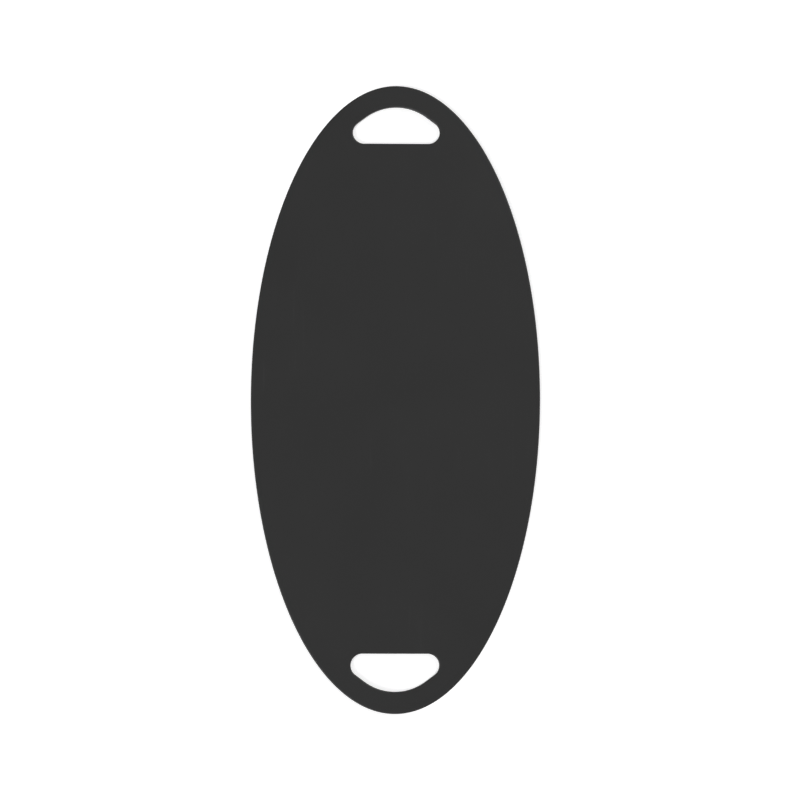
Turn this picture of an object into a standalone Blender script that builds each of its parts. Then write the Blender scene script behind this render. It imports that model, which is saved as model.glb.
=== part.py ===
"""Oval transfer board: a thin sheet of slippery plastic with a hand slot near each end, and
ribbed rubber strips let into its underside that hold it still on the two seats it bridges.

Lengths are in metres. The board lies flat: X runs across it, Y along it and Z up. The origin
is on the surface that it lies on, below its centre."""

import math

import bmesh
import bpy

# Board
BOARD_LENGTH = 0.720
BOARD_WIDTH = 0.331
BOARD_THICKNESS = 0.006
RIM_RADIUS = 0.0015

# Hand slots, each a D with its flat side towards the board's centre
GRIP_DEPTH = 0.0248
SLOT_WIDTH = 0.1002
SLOT_DEPTH = 0.0428
SLOT_CORNER_RADIUS = 0.0132
SLOT_FLANK_LENGTH = 0.0128

# Rubber strips, the same on both halves of the board
STRIPS_PER_END = 4
STRIP_WIDTH = 0.025
STRIP_THICKNESS = 0.002
STRIP_EDGE_RADIUS = 0.0004
STRIP_SPACING = 0.020
STRIP_TO_SLOT = 0.020
STRIP_TO_RIM = 0.028
RECESS_DEPTH = 0.001
CLEARANCE = 0.0003

# Grooves along each strip
GROOVE_COUNT = 6
GROOVE_WIDTH = 0.0014
GROOVE_DEPTH = 0.0006

# Facets
BOARD_STEPS = 180
CORNER_STEPS = 12
CROWN_STEPS = 18
STRIP_END_STEPS = 14
RIM_STEPS = 4
STRIP_EDGE_STEPS = 2

# How far a cutter reaches past the face that it cuts
OVERCUT = 0.005

# The largest share of a wall's thickness that a rounded edge may take from each side
FILLET_SHARE = 0.45

# Finishes: colour in linear light, and roughness
BOARD_COLOUR = (0.034, 0.034, 0.034)
BOARD_ROUGHNESS = 0.5
RUBBER_COLOUR = (0.02, 0.02, 0.021)
RUBBER_ROUGHNESS = 0.9
CREASE_ANGLE = math.radians(30)

QUARTER_TURN = math.pi / 2
HALF_TURN = math.pi

STRIP_PROUD = STRIP_THICKNESS + CLEARANCE - RECESS_DEPTH
SLOT_CROWN_Y = BOARD_LENGTH / 2 - GRIP_DEPTH
SLOT_FLAT_Y = SLOT_CROWN_Y - SLOT_DEPTH
OUTER_STRIP_Y = SLOT_FLAT_Y - STRIP_TO_SLOT - STRIP_WIDTH / 2
STRIP_PITCH = STRIP_WIDTH + STRIP_SPACING


def arc(centre_x, centre_y, radius, start, end, steps):
    """Points along an arc, each as (x, y, normal x, normal y), with angles in radians."""
    points = []
    for step in range(steps + 1):
        angle = start + (end - start) * step / steps
        normal_x = math.cos(angle)
        normal_y = math.sin(angle)
        points.append((centre_x + radius * normal_x, centre_y + radius * normal_y, normal_x, normal_y))
    return points


def board_outline():
    """The board's ellipse, with its outward normals."""
    half_width = BOARD_WIDTH / 2
    half_length = BOARD_LENGTH / 2
    points = []
    for step in range(BOARD_STEPS):
        angle = 2 * math.pi * step / BOARD_STEPS
        across = math.cos(angle)
        along = math.sin(angle)
        size = math.hypot(across / half_width, along / half_length)
        normal_x = across / half_width / size
        normal_y = along / half_length / size
        points.append((half_width * across, half_length * along, normal_x, normal_y))
    return points


def board_half_width_at(y):
    """Half the board's width at a distance along it."""
    return BOARD_WIDTH / 2 * math.sqrt(1 - (2 * y / BOARD_LENGTH) ** 2)


def slot_outline():
    """A hand slot's D: two round corners on the flat side, and a crown that straight flanks join to them."""
    corner_x = SLOT_WIDTH / 2 - SLOT_CORNER_RADIUS
    corner_y = SLOT_FLAT_Y + SLOT_CORNER_RADIUS
    rise = SLOT_DEPTH - 2 * SLOT_CORNER_RADIUS
    radius_gain = (corner_x**2 + rise**2 - SLOT_FLANK_LENGTH**2) / (2 * rise)
    crown_radius = SLOT_CORNER_RADIUS + radius_gain
    crown_y = SLOT_CROWN_Y - crown_radius
    flank_angle = math.atan2(corner_y - crown_y, corner_x) + math.atan2(SLOT_FLANK_LENGTH, radius_gain)
    far_flank_angle = HALF_TURN - flank_angle
    right = arc(corner_x, corner_y, SLOT_CORNER_RADIUS, -QUARTER_TURN, flank_angle, CORNER_STEPS)
    crown = arc(0, crown_y, crown_radius, flank_angle, far_flank_angle, CROWN_STEPS)
    left = arc(-corner_x, corner_y, SLOT_CORNER_RADIUS, far_flank_angle, 3 * QUARTER_TURN, CORNER_STEPS)
    return right + crown + left


def strip_outline():
    """A strip with round ends, centred on the origin. Its length leaves STRIP_TO_RIM of board, measured
    across the board, beyond the outermost strip's far corners."""
    radius = STRIP_WIDTH / 2
    strip_length = 2 * (board_half_width_at(OUTER_STRIP_Y + radius) - STRIP_TO_RIM)
    end_x = strip_length / 2 - radius
    right = arc(end_x, 0, radius, -QUARTER_TURN, QUARTER_TURN, STRIP_END_STEPS)
    left = arc(-end_x, 0, radius, QUARTER_TURN, 3 * QUARTER_TURN, STRIP_END_STEPS)
    return right + left


def rounded_edge(radius, steps):
    """A quarter round as (distance in from the outline, height above the face), from the face up the wall."""
    profile = []
    for step in range(steps + 1):
        angle = QUARTER_TURN * step / steps
        profile.append((radius * (1 - math.sin(angle)), radius * (1 - math.cos(angle))))
    return profile


def plate_profile(thickness, radius, steps):
    """A plate's edge, rounded on both faces, from its lower face to its upper one."""
    lower = rounded_edge(radius, steps)
    upper = [(inset, thickness - height) for inset, height in reversed(lower)]
    return lower + upper


def loft(name, outline, profile):
    """A closed mesh: the outline, drawn once for each (inset, height) of the profile, joined and capped."""
    body = bmesh.new()
    rings = []
    for inset, height in profile:
        ring = [body.verts.new((x - nx * inset, y - ny * inset, height)) for x, y, nx, ny in outline]
        rings.append(ring)
    count = len(outline)
    for lower, upper in zip(rings, rings[1:]):
        for index in range(count):
            following = (index + 1) % count
            body.faces.new((lower[index], lower[following], upper[following], upper[index]))
    body.faces.new(reversed(rings[0]))
    body.faces.new(rings[-1])
    mesh = bpy.data.meshes.new(name)
    body.to_mesh(mesh)
    body.free()
    return mesh


def place(name, mesh, location=(0, 0, 0), turn=0.0):
    """A new object of the scene that shows a mesh."""
    item = bpy.data.objects.new(name, mesh)
    item.location = location
    item.rotation_euler.z = turn
    bpy.context.scene.collection.objects.link(item)
    return item


def place_cutter(name, mesh, location=(0, 0, 0), turn=0.0):
    """An object that only cuts others."""
    cutter = place(name, mesh, location, turn)
    cutter.hide_render = True
    cutter.display_type = "WIRE"
    return cutter


def cut(item, cutter):
    """Takes the cutter's shape out of the item."""
    boolean = item.modifiers.new(cutter.name, "BOOLEAN")
    boolean.operation = "DIFFERENCE"
    boolean.solver = "EXACT"
    boolean.object = cutter


def material(name, colour, roughness):
    """A plain non-metal finish."""
    finish = bpy.data.materials.new(name)
    finish.use_nodes = True
    shader = finish.node_tree.nodes["Principled BSDF"]
    shader.inputs["Base Color"].default_value = (*colour, 1)
    shader.inputs["Roughness"].default_value = roughness
    shader.inputs["Metallic"].default_value = 0
    return finish


def shade(mesh):
    """Smooth on the rounded edges, with a crease where flat faces meet."""
    mesh.shade_smooth()
    mesh.set_sharp_from_angle(angle=CREASE_ANGLE)


def strip_places():
    """The strips' distances along the board, from one end to the other."""
    upper = [OUTER_STRIP_Y - STRIP_PITCH * index for index in range(STRIPS_PER_END)]
    lower = [-y for y in reversed(upper)]
    return upper + lower


def slot_cutter_mesh():
    """A slot's shape through the board, flared at both faces so that it leaves a rounded edge."""
    radius = min(RIM_RADIUS, BOARD_THICKNESS * FILLET_SHARE)
    flared = [(-inset, height) for inset, height in plate_profile(BOARD_THICKNESS, radius, RIM_STEPS)]
    below = (-radius, -OVERCUT)
    above = (-radius, BOARD_THICKNESS + OVERCUT)
    return loft("slot_cutter", slot_outline(), [below, *flared, above])


def recess_cutter_mesh():
    """A strip's recess, wider than the strip by the clearance all round."""
    return loft("recess_cutter", strip_outline(), [(-CLEARANCE, -OVERCUT), (-CLEARANCE, RECESS_DEPTH)])


def board_sheet(parent):
    """The sheet with its two hand slots and the recesses in its underside."""
    radius = min(RIM_RADIUS, BOARD_THICKNESS * FILLET_SHARE)
    mesh = loft("board_sheet", board_outline(), plate_profile(BOARD_THICKNESS, radius, RIM_STEPS))
    mesh.materials.append(material("slippery_plastic", BOARD_COLOUR, BOARD_ROUGHNESS))
    shade(mesh)
    board = place("board_sheet", mesh, (0, 0, STRIP_PROUD))
    board.parent = parent
    slot_mesh = slot_cutter_mesh()
    for number, turn in enumerate((0, HALF_TURN), 1):
        cutter = place_cutter(f"slot_cutter_{number}", slot_mesh, (0, 0, STRIP_PROUD), turn)
        cutter.parent = parent
        cut(board, cutter)
    recess_mesh = recess_cutter_mesh()
    for number, y in enumerate(strip_places(), 1):
        cutter = place_cutter(f"recess_cutter_{number}", recess_mesh, (0, y, STRIP_PROUD))
        cutter.parent = parent
        cut(board, cutter)


def groove_mesh():
    """All the grooves of a strip, as bars as long as the board is wide, sunk into its lower face."""
    pitch = STRIP_WIDTH / (GROOVE_COUNT + 1)
    bars = bmesh.new()
    for index in range(GROOVE_COUNT):
        y = pitch * (index + 1) - STRIP_WIDTH / 2
        bar = bmesh.ops.create_cube(bars, size=1)["verts"]
        bmesh.ops.scale(bars, verts=bar, vec=(BOARD_WIDTH, GROOVE_WIDTH, GROOVE_DEPTH + OVERCUT))
        bmesh.ops.translate(bars, verts=bar, vec=(0, y, (GROOVE_DEPTH - OVERCUT) / 2))
    mesh = bpy.data.meshes.new("groove_cutter")
    bars.to_mesh(mesh)
    bars.free()
    return mesh


def strip_mesh():
    """One rubber strip: a rounded lower edge, and grooves along it that leave ribs to grip with."""
    radius = min(STRIP_EDGE_RADIUS, STRIP_THICKNESS * FILLET_SHARE)
    profile = [*rounded_edge(radius, STRIP_EDGE_STEPS), (0, STRIP_THICKNESS)]
    blank = place("strip_blank", loft("strip_blank", strip_outline(), profile))
    cutter = place_cutter("groove_cutter", groove_mesh())
    cut(blank, cutter)
    graph = bpy.context.evaluated_depsgraph_get()
    mesh = bpy.data.meshes.new_from_object(blank.evaluated_get(graph))
    mesh.name = "anti_slip_strip"
    bpy.data.objects.remove(blank)
    bpy.data.objects.remove(cutter)
    mesh.materials.append(material("grip_rubber", RUBBER_COLOUR, RUBBER_ROUGHNESS))
    shade(mesh)
    return mesh


def anti_slip_strips(parent):
    """The rubber strips in their recesses, with their ribs on the surface that the board lies on."""
    mesh = strip_mesh()
    for number, y in enumerate(strip_places(), 1):
        strip = place(f"anti_slip_strip_{number}", mesh, (0, y, 0))
        strip.parent = parent


def main():
    for item in list(bpy.data.objects):
        bpy.data.objects.remove(item)
    whole = place("oval_transfer_board", None)
    board_sheet(whole)
    anti_slip_strips(whole)


main()
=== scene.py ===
"""Looks of the oval transfer board: its sheet of charcoal plastic and its ribbed rubber strips,
on a pale floor in soft studio light, seen almost straight from above as in the photograph.

Lengths are in metres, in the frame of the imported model: X across the board, Y along it, Z up."""

import math

import bmesh
import bpy
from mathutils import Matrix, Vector


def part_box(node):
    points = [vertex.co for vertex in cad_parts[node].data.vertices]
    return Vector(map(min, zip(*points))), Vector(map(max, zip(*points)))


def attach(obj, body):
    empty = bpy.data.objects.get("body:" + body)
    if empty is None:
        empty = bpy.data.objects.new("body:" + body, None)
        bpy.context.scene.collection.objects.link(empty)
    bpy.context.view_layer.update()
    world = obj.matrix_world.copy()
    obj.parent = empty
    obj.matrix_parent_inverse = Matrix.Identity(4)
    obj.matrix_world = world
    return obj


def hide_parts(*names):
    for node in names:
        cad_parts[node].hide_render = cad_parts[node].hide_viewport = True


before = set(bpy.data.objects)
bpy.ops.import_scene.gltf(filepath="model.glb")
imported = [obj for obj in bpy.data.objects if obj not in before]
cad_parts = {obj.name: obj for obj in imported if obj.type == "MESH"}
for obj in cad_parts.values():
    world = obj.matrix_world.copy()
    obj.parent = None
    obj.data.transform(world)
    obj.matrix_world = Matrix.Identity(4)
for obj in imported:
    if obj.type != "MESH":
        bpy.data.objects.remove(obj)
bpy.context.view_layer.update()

# Board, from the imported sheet
BOARD_LOW, BOARD_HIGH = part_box("board_sheet")
BOARD_LENGTH = BOARD_HIGH.y - BOARD_LOW.y
BOARD_WIDTH = BOARD_HIGH.x - BOARD_LOW.x
BOARD_BASE = BOARD_LOW.z
BOARD_TOP = BOARD_HIGH.z
RIM_RADIUS = 0.0015
RIM_MARGIN = 0.0003

# Hand slots
GRIP_DEPTH = 0.0248
SLOT_WIDTH = 0.1002
SLOT_DEPTH = 0.0428
SLOT_CORNER_RADIUS = 0.0132
SLOT_FLANK_LENGTH = 0.0128

# Rubber strips and their recesses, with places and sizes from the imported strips
STRIP_NODES = sorted(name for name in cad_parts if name.startswith("anti_slip_strip_"))
RECESS_DEPTH = 0.001
CLEARANCE = 0.0003
GROOVE_COUNT = 6
GROOVE_WIDTH = 0.0014
GROOVE_DEPTH = 0.0006
GROOVE_WALL_LEAN = 0.00005
RIB_CREST_RADIUS = 0.00025
GROOVE_ROOT_RADIUS = 0.0002
STRIP_EDGE_RADIUS = 0.0004

# Facets
BOARD_STEPS = 720
CORNER_STEPS = 40
CROWN_STEPS = 60
RIM_STEPS = 10
STRIP_END_STEPS = 48
RIB_ROUND_STEPS = 4
STRIP_CREASE_ANGLE = math.radians(40)

QUARTER_TURN = math.pi / 2
HALF_TURN = math.pi

# Finishes, with colours in linear light. A pattern's scale is about how many of its spots lie along a metre,
# or three such numbers for X, Y and Z. A range gives the levels between which a pattern, or a finish that
# depends on height or slope, goes from none to full. Noise lies mostly between NOISE_LOW and NOISE_HIGH.
NOISE_LOW = 0.3
NOISE_HIGH = 0.7
RELIEF_STRENGTH = 0.5

# Charcoal plastic
BOARD_COLOUR = (0.0250, 0.0250, 0.0250)
BOARD_ROUGHNESS = 0.40
BOARD_SPECULAR = 0.4
CLOUD_SCALE = 9
CLOUD_CONTRAST = 0.02
SPECK_SCALE = 1500
SPECK_CONTRAST = 0.07
HAZE_SCALE = 14
HAZE_ROUGHNESS = 0.012
GRAIN_SCALE = 1300
GRAIN_SMOOTHNESS = 0.6
GRAIN_HEIGHT = 0.00004

# Light scuffs: scratches along the board, in patches
SCUFF_COLOUR = (0.0380, 0.0380, 0.0385)
SCRATCH_SCALE = (620, 9, 620)
SCRATCH_RANGE = (0.66, 0.76)
SCRATCH_HEIGHT = 0.000006
SCRATCH_STRENGTH = 0.4
SCUFF_PATCH_SCALE = 7
SCUFF_PATCH_RANGE = (0.48, 0.62)
SCUFF_COLOUR_SHARE = 0.5
SCUFF_ROUGHNESS = 0.10

# Cut edges, where the surface's normal leans away from Z, and the patches that hands have rubbed there
CUT_EDGE_RANGE = (0.985, 0.90)
# Painted shade: the factor by which the colour of the cut edges is darkened
CUT_EDGE_PAINTED_SHADE = 0.8
CUT_EDGE_ROUGHNESS = 0.14
TOOL_LINE_SCALE = (40, 40, 7000)
TOOL_LINE_HEIGHT = 0.00002
HANDLING_SCALE = 42
HANDLING_RANGE = (0.50, 0.66)
HANDLING_COLOUR_SHARE = 0.4
HANDLING_SMOOTHING = 0.12

# Ribbed rubber. Its ranges of height count from the surface that the board lies on. Dust hides its colour by
# a share, and rubbing takes from its roughness, each between a least and a most value.
RUBBER_COLOUR = (0.0180, 0.0180, 0.0190)
RUBBER_ROUGHNESS = 0.82
RUBBER_SPECULAR = 0.35
MOTTLE_SCALE = 160
MOTTLE_CONTRAST = 0.15
SKIN_SCALE = 2600
SKIN_HEIGHT = 0.00003
DUST_COLOUR = (0.0500, 0.0490, 0.0470)
DUST_HEIGHT_RANGE = (0.25 * GROOVE_DEPTH, GROOVE_DEPTH)
DUST_SCALE = 90
DUST_RANGE = (0.4, 0.7)
DUST_SHARES = (0.1, 0.6)
CREST_HEIGHT_RANGE = (0.10 * GROOVE_DEPTH, 0)
RUBBED_SCALE = 60
RUBBED_RANGE = (0.4, 0.6)
RUBBED_SMOOTHINGS = (0.03, 0.14)

# Studio: the floor's glow for rays that see it, the height up the sky where the white walls begin to fall off
# towards the dimmer ceiling, how steeply they do, and the angle of sky that each lamp covers
FLOOR_COLOUR = (0.80, 0.80, 0.80)
FLOOR_GLOW = 0.55
FLOOR_HALF_SIZE = 12.0
FLOOR_GAP = 0.0001
WALL_TOP = 0.19
WALL_FALL = 6.0
CEILING_STRENGTH = 0.08
LAMP_ANGLE = math.radians(40)

# Camera, from the board's outline and slots in the photograph: the point of the board that the picture's
# centre shows, the camera's turns about its own line of sight, X and Y, its distance, and how much of the
# board's middle plane the picture's side covers
CAMERA_AIM = (0.0051, -0.0042)
CAMERA_ROLL = math.radians(0.14)
CAMERA_TILT = math.radians(3.9)
CAMERA_LEAN = math.radians(-0.6)
CAMERA_DISTANCE = 2.0
CAMERA_REACH = 100
PICTURE_SIDE = 0.9156
SENSOR_MM = 36


# Outlines

def arc(centre_x, centre_y, radius, start, end, steps):
    """Points along an arc, each as (x, y, normal x, normal y), with angles in radians."""
    points = []
    for step in range(steps + 1):
        angle = start + (end - start) * step / steps
        normal_x = math.cos(angle)
        normal_y = math.sin(angle)
        points.append((centre_x + radius * normal_x, centre_y + radius * normal_y, normal_x, normal_y))
    return points


def board_outline():
    """The board's ellipse, with its outward normals."""
    half_width = BOARD_WIDTH / 2
    half_length = BOARD_LENGTH / 2
    points = []
    for step in range(BOARD_STEPS):
        angle = 2 * math.pi * step / BOARD_STEPS
        across = math.cos(angle)
        along = math.sin(angle)
        size = math.hypot(across / half_width, along / half_length)
        normal_x = across / half_width / size
        normal_y = along / half_length / size
        points.append((half_width * across, half_length * along, normal_x, normal_y))
    return points


def slot_outline(side):
    """A hand slot's D, in the half of the board that side gives as 1 or -1."""
    crown_top = BOARD_LENGTH / 2 - GRIP_DEPTH
    corner_x = SLOT_WIDTH / 2 - SLOT_CORNER_RADIUS
    corner_y = crown_top - SLOT_DEPTH + SLOT_CORNER_RADIUS
    rise = SLOT_DEPTH - 2 * SLOT_CORNER_RADIUS
    radius_gain = (corner_x**2 + rise**2 - SLOT_FLANK_LENGTH**2) / (2 * rise)
    crown_radius = SLOT_CORNER_RADIUS + radius_gain
    crown_y = crown_top - crown_radius
    flank_angle = math.atan2(corner_y - crown_y, corner_x) + math.atan2(SLOT_FLANK_LENGTH, radius_gain)
    far_flank_angle = HALF_TURN - flank_angle
    right = arc(corner_x, corner_y, SLOT_CORNER_RADIUS, -QUARTER_TURN, flank_angle, CORNER_STEPS)
    crown = arc(0, crown_y, crown_radius, flank_angle, far_flank_angle, CROWN_STEPS)
    left = arc(-corner_x, corner_y, SLOT_CORNER_RADIUS, far_flank_angle, 3 * QUARTER_TURN, CORNER_STEPS)
    return [(side * x, side * y, side * nx, side * ny) for x, y, nx, ny in right + crown + left]


def recess_outline(low, high):
    """The recess round a strip that fills the box from low to high."""
    radius = (high.y - low.y) / 2
    centre_y = (high.y + low.y) / 2
    end_x = high.x - radius
    right = arc(end_x, centre_y, radius + CLEARANCE, -QUARTER_TURN, QUARTER_TURN, STRIP_END_STEPS)
    left = arc(-end_x, centre_y, radius + CLEARANCE, QUARTER_TURN, 3 * QUARTER_TURN, STRIP_END_STEPS)
    return right + left


def rim_profile():
    """The sheet's edge, rounded on both faces, as (distance in from the outline, height). It starts and
    ends with a narrow margin of the flat face, over which the rounding's shading runs out."""
    lower = [(RIM_RADIUS + RIM_MARGIN, BOARD_BASE)]
    for step in range(RIM_STEPS + 1):
        angle = QUARTER_TURN * step / RIM_STEPS
        inset = RIM_RADIUS * (1 - math.sin(angle))
        lower.append((inset, BOARD_BASE + RIM_RADIUS * (1 - math.cos(angle))))
    upper = [(inset, BOARD_BASE + BOARD_TOP - height) for inset, height in reversed(lower)]
    return lower + upper


# Mesh building

def add_wall(body, outline, profile):
    """Draws the outline once for each (inset, height) of the profile and joins up the rings. Returns the
    edges of the first ring and of the last."""
    rings = []
    for inset, height in profile:
        ring = [body.verts.new((x - nx * inset, y - ny * inset, height)) for x, y, nx, ny in outline]
        rings.append(ring)
    count = len(outline)
    for lower, upper in zip(rings, rings[1:]):
        for index in range(count):
            following = (index + 1) % count
            body.faces.new((lower[index], lower[following], upper[following], upper[index]))
    return edge_loop(body, rings[0]), edge_loop(body, rings[-1])


def edge_loop(body, ring):
    """The edges that join a ring's corners, kept sharp because a flat face starts there."""
    edges = [body.edges.get(pair) for pair in zip(ring, ring[1:] + ring[:1])]
    for edge in edges:
        edge.smooth = False
    return edges


def fill(body, edges):
    """Fills the area that the loops of edges bound, leaving holes where they lie inside one another."""
    bmesh.ops.triangle_fill(body, use_beauty=True, use_dissolve=False, edges=edges)


def finish_mesh(name, body):
    """A new object of the scene from a closed mesh, with its faces pointing out and shaded smooth."""
    bmesh.ops.recalc_face_normals(body, faces=body.faces)
    for face in body.faces:
        face.smooth = True
    mesh = bpy.data.meshes.new(name)
    body.to_mesh(mesh)
    body.free()
    item = bpy.data.objects.new(name, mesh)
    bpy.context.scene.collection.objects.link(item)
    return item


def board_sheet():
    """The oval sheet with both hand slots cut through it and a recess for each strip in its underside."""
    body = bmesh.new()
    under, over = add_wall(body, board_outline(), rim_profile())
    slot_profile = [(-inset, height) for inset, height in rim_profile()]
    for side in (1, -1):
        slot_under, slot_over = add_wall(body, slot_outline(side), slot_profile)
        under += slot_under
        over += slot_over
    for node in STRIP_NODES:
        outline = recess_outline(*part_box(node))
        mouth, ceiling = add_wall(body, outline, [(0, BOARD_BASE), (0, BOARD_BASE + RECESS_DEPTH)])
        under += mouth
        fill(body, ceiling)
    fill(body, under)
    fill(body, over)
    return finish_mesh("charcoal_sheet", body)


def groove_section(centre):
    """One groove across a strip, as (y, height) from rib crest to rib crest. Its walls lean a little, as
    moulded ones do, and its crests and roots are rounded."""
    half = GROOVE_WIDTH / 2
    section = []
    for step in range(RIB_ROUND_STEPS + 1):
        angle = QUARTER_TURN * step / RIB_ROUND_STEPS
        across = half + RIB_CREST_RADIUS * (1 - math.sin(angle))
        section.append((-across, RIB_CREST_RADIUS * (1 - math.cos(angle))))
    for step in range(RIB_ROUND_STEPS + 1):
        angle = QUARTER_TURN * step / RIB_ROUND_STEPS
        across = half - GROOVE_WALL_LEAN - GROOVE_ROOT_RADIUS * (1 - math.cos(angle))
        section.append((-across, GROOVE_DEPTH - GROOVE_ROOT_RADIUS * (1 - math.sin(angle))))
    mirrored = [(-y, height) for y, height in reversed(section)]
    return [(centre + y, height) for y, height in section + mirrored]


def strip_section(width):
    """A strip's ribbed lower face, as (y, height) from one long edge to the other."""
    pitch = width / (GROOVE_COUNT + 1)
    edge = []
    for step in range(RIB_ROUND_STEPS + 1):
        angle = QUARTER_TURN * step / RIB_ROUND_STEPS
        across = width / 2 - STRIP_EDGE_RADIUS * (1 - math.cos(angle))
        edge.append((-across, STRIP_EDGE_RADIUS * (1 - math.sin(angle))))
    section = list(edge)
    for index in range(GROOVE_COUNT):
        section += groove_section(pitch * (index + 1) - width / 2)
    section += [(-y, height) for y, height in reversed(edge)]
    return section


def edge_inset(height):
    """How far a strip's rounded lower edge lies in from its outline at a height above its lowest face."""
    below = max(0, STRIP_EDGE_RADIUS - height)
    return STRIP_EDGE_RADIUS - math.sqrt(STRIP_EDGE_RADIUS**2 - below**2)


def end_levels(height):
    """Heights up a strip's round end, from a rib or groove at the given height to where its wall is
    upright."""
    upright = max(STRIP_EDGE_RADIUS, height + STRIP_EDGE_RADIUS / 2)
    levels = []
    for step in range(RIB_ROUND_STEPS + 1):
        share = 1 - math.cos(QUARTER_TURN * step / RIB_ROUND_STEPS)
        levels.append(height + (upright - height) * share)
    return levels


def strip_rows(width):
    """The strip's section with rows added where its round ends curve most, as (y, height)."""
    radius = width / 2
    section = strip_section(width)
    rows = [section[0]]
    for (start_y, start_height), (end_y, end_height) in zip(section, section[1:]):
        start_angle = math.asin(max(-1, start_y / radius))
        end_angle = math.asin(min(1, end_y / radius))
        steps = max(1, math.ceil((end_angle - start_angle) * STRIP_END_STEPS / HALF_TURN))
        for step in range(1, steps):
            y = radius * math.sin(start_angle + (end_angle - start_angle) * step / steps)
            share = (y - start_y) / (end_y - start_y)
            rows.append((y, start_height + (end_height - start_height) * share))
        rows.append((end_y, end_height))
    return rows


def rubber_strip(name, low, high):
    """A ribbed strip with round ends. Its ribs run the whole length, so each row of the mesh goes straight
    from one round end to the other, and up both ends after a short flat margin."""
    radius = (high.y - low.y) / 2
    centre_y = (high.y + low.y) / 2
    end_x = high.x - radius
    body = bmesh.new()
    rows = []
    for y, height in strip_rows(2 * radius):
        half = []
        for level in end_levels(height):
            end_radius = radius - edge_inset(level)
            half.append((end_x + math.sqrt(max(0, end_radius**2 - y**2)), low.z + level))
        half.insert(0, (half[0][0] - STRIP_EDGE_RADIUS, low.z + height))
        half.append((half[-1][0], high.z))
        right = [body.verts.new((x, centre_y + y, z)) for x, z in half]
        left = [body.verts.new((-x, centre_y + y, z)) for x, z in reversed(half)]
        rows.append(right + left)
    count = len(rows[0])
    for near, far in zip(rows, rows[1:]):
        for index in range(count):
            following = (index + 1) % count
            body.faces.new((near[index], near[following], far[following], far[index]))
    body.faces.new(rows[0])
    body.faces.new(rows[-1])
    strip = finish_mesh(name, body)
    strip.data.set_sharp_from_angle(angle=STRIP_CREASE_ANGLE)
    return strip


# Materials

def new_material(name, roughness, specular):
    """A material with its node tree and its Principled shader."""
    finish = bpy.data.materials.new(name)
    finish.use_nodes = True
    shader = finish.node_tree.nodes["Principled BSDF"]
    shader.inputs["Roughness"].default_value = roughness
    shader.inputs["Specular IOR Level"].default_value = specular
    return finish, finish.node_tree, shader


def add_node(tree, kind, **settings):
    """A new node with some of its settings."""
    made = tree.nodes.new(kind)
    for key, value in settings.items():
        setattr(made, key, value)
    return made


def noise(tree, coordinates, scale, detail):
    """Noise over the given coordinates. Its scale is one number, or three for X, Y and Z."""
    made = add_node(tree, "ShaderNodeTexNoise")
    if isinstance(scale, tuple):
        mapping = add_node(tree, "ShaderNodeMapping")
        mapping.inputs["Scale"].default_value = scale
        tree.links.new(coordinates, mapping.inputs["Vector"])
        coordinates = mapping.outputs["Vector"]
        scale = 1
    made.inputs["Scale"].default_value = scale
    made.inputs["Detail"].default_value = detail
    tree.links.new(coordinates, made.inputs["Vector"])
    return made.outputs["Fac"]


def spread(tree, value, start, end, out_start=0, out_end=1):
    """Maps start and end to out_start and out_end, and stays between them."""
    made = add_node(tree, "ShaderNodeMapRange", clamp=True)
    made.inputs["From Min"].default_value = start
    made.inputs["From Max"].default_value = end
    made.inputs["To Min"].default_value = out_start
    made.inputs["To Max"].default_value = out_end
    tree.links.new(value, made.inputs["Value"])
    return made.outputs["Result"]


def vary(tree, value, middle, contrast):
    """Maps noise to values that vary round a middle one."""
    return spread(tree, value, NOISE_LOW, NOISE_HIGH, middle - contrast, middle + contrast)


def calculate(tree, operation, first, second=0):
    """A Math node on two values, each a socket or a number."""
    made = add_node(tree, "ShaderNodeMath", operation=operation)
    for socket, value in zip(made.inputs, (first, second)):
        if isinstance(value, (int, float)):
            socket.default_value = value
        else:
            tree.links.new(value, socket)
    return made.outputs["Value"]


def multiply(tree, first, second):
    """The product of two values, each a socket or a number."""
    return calculate(tree, "MULTIPLY", first, second)


def blend_colours(tree, share, first, second):
    """A mix of two colours, each a socket or three numbers. The Mix node has one pair of inputs and one
    output for each kind of data, and those for colours are its inputs 6 and 7 and its output 2."""
    made = add_node(tree, "ShaderNodeMix", data_type="RGBA")
    tree.links.new(share, made.inputs["Factor"])
    for socket, colour in ((made.inputs[6], first), (made.inputs[7], second)):
        if isinstance(colour, tuple):
            socket.default_value = (*colour, 1)
        else:
            tree.links.new(colour, socket)
    return made.outputs[2]


def shade(tree, colour, factor):
    """A colour, a socket or three numbers, made lighter or darker by a factor."""
    made = add_node(tree, "ShaderNodeVectorMath", operation="SCALE")
    tree.links.new(factor, made.inputs["Scale"])
    if isinstance(colour, tuple):
        made.inputs[0].default_value = colour
    else:
        tree.links.new(colour, made.inputs[0])
    return made.outputs["Vector"]


def bump(tree, pattern, height, below=None, strength=RELIEF_STRENGTH):
    """A bump of the given height, on top of another one where below gives it."""
    made = add_node(tree, "ShaderNodeBump")
    made.inputs["Distance"].default_value = height
    made.inputs["Strength"].default_value = strength
    tree.links.new(pattern, made.inputs["Height"])
    if below:
        tree.links.new(below, made.inputs["Normal"])
    return made.outputs["Normal"]


def axis_parts(tree, vector):
    """A vector's X, Y and Z, as a node's outputs."""
    parts = add_node(tree, "ShaderNodeSeparateXYZ")
    tree.links.new(vector, parts.inputs["Vector"])
    return parts.outputs


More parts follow.
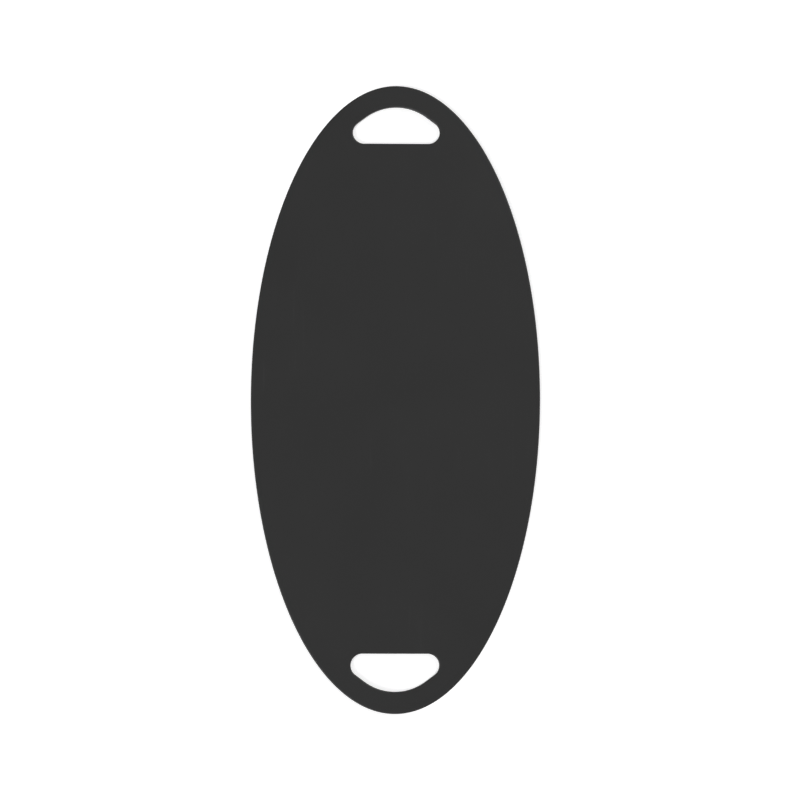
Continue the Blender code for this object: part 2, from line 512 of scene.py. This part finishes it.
def charcoal_plastic():
    """Charcoal sheet plastic: a fine moulded grain on the faces, tool lines and patches of handling wear on
    the cut edges, painted shade that darkens the cut edges, light scuffs along the board, and a little
    unevenness in colour and gloss."""
    finish, tree, shader = new_material("charcoal_plastic", BOARD_ROUGHNESS, BOARD_SPECULAR)
    coordinates = add_node(tree, "ShaderNodeTexCoord")
    place = coordinates.outputs["Object"]
    slope = calculate(tree, "ABSOLUTE", axis_parts(tree, coordinates.outputs["Normal"])["Z"])
    cut_edge = spread(tree, slope, *CUT_EDGE_RANGE)

    clouds = vary(tree, noise(tree, place, CLOUD_SCALE, detail=3), 1, CLOUD_CONTRAST)
    specks = vary(tree, noise(tree, place, SPECK_SCALE, detail=1), 1, SPECK_CONTRAST)
    scratches = spread(tree, noise(tree, place, SCRATCH_SCALE, detail=2), *SCRATCH_RANGE)
    patches = spread(tree, noise(tree, place, SCUFF_PATCH_SCALE, detail=1), *SCUFF_PATCH_RANGE)
    scuffs = multiply(tree, scratches, patches)
    handling = spread(tree, noise(tree, place, HANDLING_SCALE, detail=4), *HANDLING_RANGE)
    handled = multiply(tree, cut_edge, handling)

    colour = shade(tree, BOARD_COLOUR, multiply(tree, clouds, specks))
    colour = blend_colours(tree, multiply(tree, scuffs, SCUFF_COLOUR_SHARE), colour, SCUFF_COLOUR)
    # Painted shade: the colour is darkened on the cut edges, where the surface leans away from Z
    colour = shade(tree, colour, spread(tree, cut_edge, 0, 1, 1, CUT_EDGE_PAINTED_SHADE))
    colour = blend_colours(tree, multiply(tree, handled, HANDLING_COLOUR_SHARE), colour, SCUFF_COLOUR)
    tree.links.new(colour, shader.inputs["Base Color"])

    haze = vary(tree, noise(tree, place, HAZE_SCALE, detail=3), 0, HAZE_ROUGHNESS)
    roughness = calculate(tree, "ADD", haze, BOARD_ROUGHNESS)
    roughness = calculate(tree, "ADD", roughness, multiply(tree, scuffs, SCUFF_ROUGHNESS))
    roughness = calculate(tree, "ADD", roughness, multiply(tree, cut_edge, CUT_EDGE_ROUGHNESS))
    roughness = calculate(tree, "SUBTRACT", roughness, multiply(tree, handled, HANDLING_SMOOTHING))
    tree.links.new(roughness, shader.inputs["Roughness"])

    cells = add_node(tree, "ShaderNodeTexVoronoi", feature="SMOOTH_F1")
    cells.inputs["Scale"].default_value = GRAIN_SCALE
    cells.inputs["Smoothness"].default_value = GRAIN_SMOOTHNESS
    tree.links.new(place, cells.inputs["Vector"])
    grain = multiply(tree, cells.outputs["Distance"], calculate(tree, "SUBTRACT", 1, cut_edge))
    tool_lines = multiply(tree, noise(tree, place, TOOL_LINE_SCALE, detail=2), cut_edge)
    relief = bump(tree, grain, GRAIN_HEIGHT)
    relief = bump(tree, tool_lines, TOOL_LINE_HEIGHT, relief)
    relief = bump(tree, scratches, SCRATCH_HEIGHT, relief, SCRATCH_STRENGTH)
    tree.links.new(relief, shader.inputs["Normal"])
    return finish


def ribbed_rubber():
    """Matt black rubber: dust in the grooves, rib crests rubbed smooth, and a fine uneven skin."""
    finish, tree, shader = new_material("ribbed_rubber", RUBBER_ROUGHNESS, RUBBER_SPECULAR)
    place = add_node(tree, "ShaderNodeTexCoord").outputs["Object"]
    height = axis_parts(tree, place)["Z"]
    sunk = spread(tree, height, *DUST_HEIGHT_RANGE)
    crest = spread(tree, height, *CREST_HEIGHT_RANGE)

    mottle = vary(tree, noise(tree, place, MOTTLE_SCALE, detail=4), 1, MOTTLE_CONTRAST)
    dust = spread(tree, noise(tree, place, DUST_SCALE, detail=4), *DUST_RANGE, *DUST_SHARES)
    colour = blend_colours(tree, multiply(tree, sunk, dust), shade(tree, RUBBER_COLOUR, mottle), DUST_COLOUR)
    tree.links.new(colour, shader.inputs["Base Color"])

    rubbed = spread(tree, noise(tree, place, RUBBED_SCALE, detail=2), *RUBBED_RANGE, *RUBBED_SMOOTHINGS)
    roughness = calculate(tree, "SUBTRACT", RUBBER_ROUGHNESS, multiply(tree, crest, rubbed))
    tree.links.new(roughness, shader.inputs["Roughness"])

    skin = noise(tree, place, SKIN_SCALE, detail=3)
    tree.links.new(bump(tree, skin, SKIN_HEIGHT), shader.inputs["Normal"])
    return finish


# Studio

def seen_ray(tree):
    """1 for rays that show a surface directly, in a mirror or through glass, and otherwise 0."""
    path = add_node(tree, "ShaderNodeLightPath")
    seen = calculate(tree, "MAXIMUM", path.outputs["Is Camera Ray"], path.outputs["Is Glossy Ray"])
    return calculate(tree, "MAXIMUM", seen, path.outputs["Is Transmission Ray"])


def pale_floor():
    """A wide pale floor. It shows as white, and still takes the board's shadow."""
    body = bmesh.new()
    bmesh.ops.create_grid(body, x_segments=1, y_segments=1, size=FLOOR_HALF_SIZE)
    mesh = bpy.data.meshes.new("floor")
    body.to_mesh(mesh)
    body.free()
    floor = bpy.data.objects.new("floor", mesh)
    floor.location.z = -FLOOR_GAP
    bpy.context.scene.collection.objects.link(floor)

    finish = bpy.data.materials.new("pale_floor")
    finish.use_nodes = True
    tree = finish.node_tree
    tree.nodes.clear()
    paint = add_node(tree, "ShaderNodeBsdfDiffuse")
    paint.inputs["Color"].default_value = (*FLOOR_COLOUR, 1)
    glow = add_node(tree, "ShaderNodeEmission")
    tree.links.new(multiply(tree, seen_ray(tree), FLOOR_GLOW), glow.inputs["Strength"])
    both = add_node(tree, "ShaderNodeAddShader")
    tree.links.new(paint.outputs["BSDF"], both.inputs[0])
    tree.links.new(glow.outputs["Emission"], both.inputs[1])
    output = add_node(tree, "ShaderNodeOutputMaterial")
    tree.links.new(both.outputs["Shader"], output.inputs["Surface"])
    mesh.materials.append(finish)


def studio_world():
    """White walls round the horizon, and a dimmer ceiling, which keeps the board's flat face dark."""
    world = bpy.data.worlds.new("studio")
    bpy.context.scene.world = world
    world.use_nodes = True
    tree = world.node_tree
    direction = add_node(tree, "ShaderNodeTexCoord").outputs["Generated"]
    below_ceiling = spread(tree, axis_parts(tree, direction)["Z"], WALL_TOP, 1, 1, 0)
    fall = calculate(tree, "POWER", below_ceiling, WALL_FALL)
    strength = spread(tree, fall, 0, 1, CEILING_STRENGTH, 1)
    tree.links.new(strength, tree.nodes["Background"].inputs["Strength"])
    tree.nodes["Background"].inputs["Color"].default_value = (1, 1, 1, 1)


def soft_lamp(name, azimuth, elevation, strength):
    """A wide, far lamp, with its angles in degrees. Azimuth is the compass direction that its light comes
    from, counted from +Y to +X."""
    light = bpy.data.lights.new(name, "SUN")
    light.energy = strength
    light.angle = LAMP_ANGLE
    lamp = bpy.data.objects.new(name, light)
    turn = math.radians(azimuth)
    rise = math.radians(elevation)
    towards = Vector((math.sin(turn) * math.cos(rise), math.cos(turn) * math.cos(rise), math.sin(rise)))
    lamp.rotation_euler = towards.to_track_quat("Z", "Y").to_euler()
    bpy.context.scene.collection.objects.link(lamp)


def studio_lamps():
    """A wide lamp at the lower left of the picture and another at the upper right."""
    soft_lamp("key_lamp", azimuth=-135, elevation=41, strength=2.05)
    soft_lamp("fill_lamp", azimuth=45, elevation=38, strength=1.75)


def photo_camera():
    """Above the board and a little towards its lower end, which looks slightly larger in the photograph."""
    data = bpy.data.cameras.new("camera")
    data.sensor_width = SENSOR_MM
    data.lens = SENSOR_MM * CAMERA_DISTANCE / PICTURE_SIDE
    data.clip_end = CAMERA_REACH
    camera = bpy.data.objects.new("camera", data)
    camera.rotation_mode = "ZXY"
    camera.rotation_euler = (CAMERA_TILT, CAMERA_LEAN, CAMERA_ROLL)
    aim = Vector((*CAMERA_AIM, (BOARD_BASE + BOARD_TOP) / 2))
    camera.location = aim + camera.rotation_euler.to_matrix() @ Vector((0, 0, CAMERA_DISTANCE))
    bpy.context.scene.collection.objects.link(camera)
    bpy.context.scene.camera = camera


# The whole

def add_piece(piece, finish, node):
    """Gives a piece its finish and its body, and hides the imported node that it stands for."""
    piece.data.materials.append(finish)
    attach(piece, "root")
    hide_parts(node)


add_piece(board_sheet(), charcoal_plastic(), "board_sheet")
rubber = ribbed_rubber()
for number, node in enumerate(STRIP_NODES, 1):
    add_piece(rubber_strip(f"rubber_strip_{number}", *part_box(node)), rubber, node)

pale_floor()
studio_world()
studio_lamps()
photo_camera()
bpy.context.scene.view_settings.view_transform = "Standard"
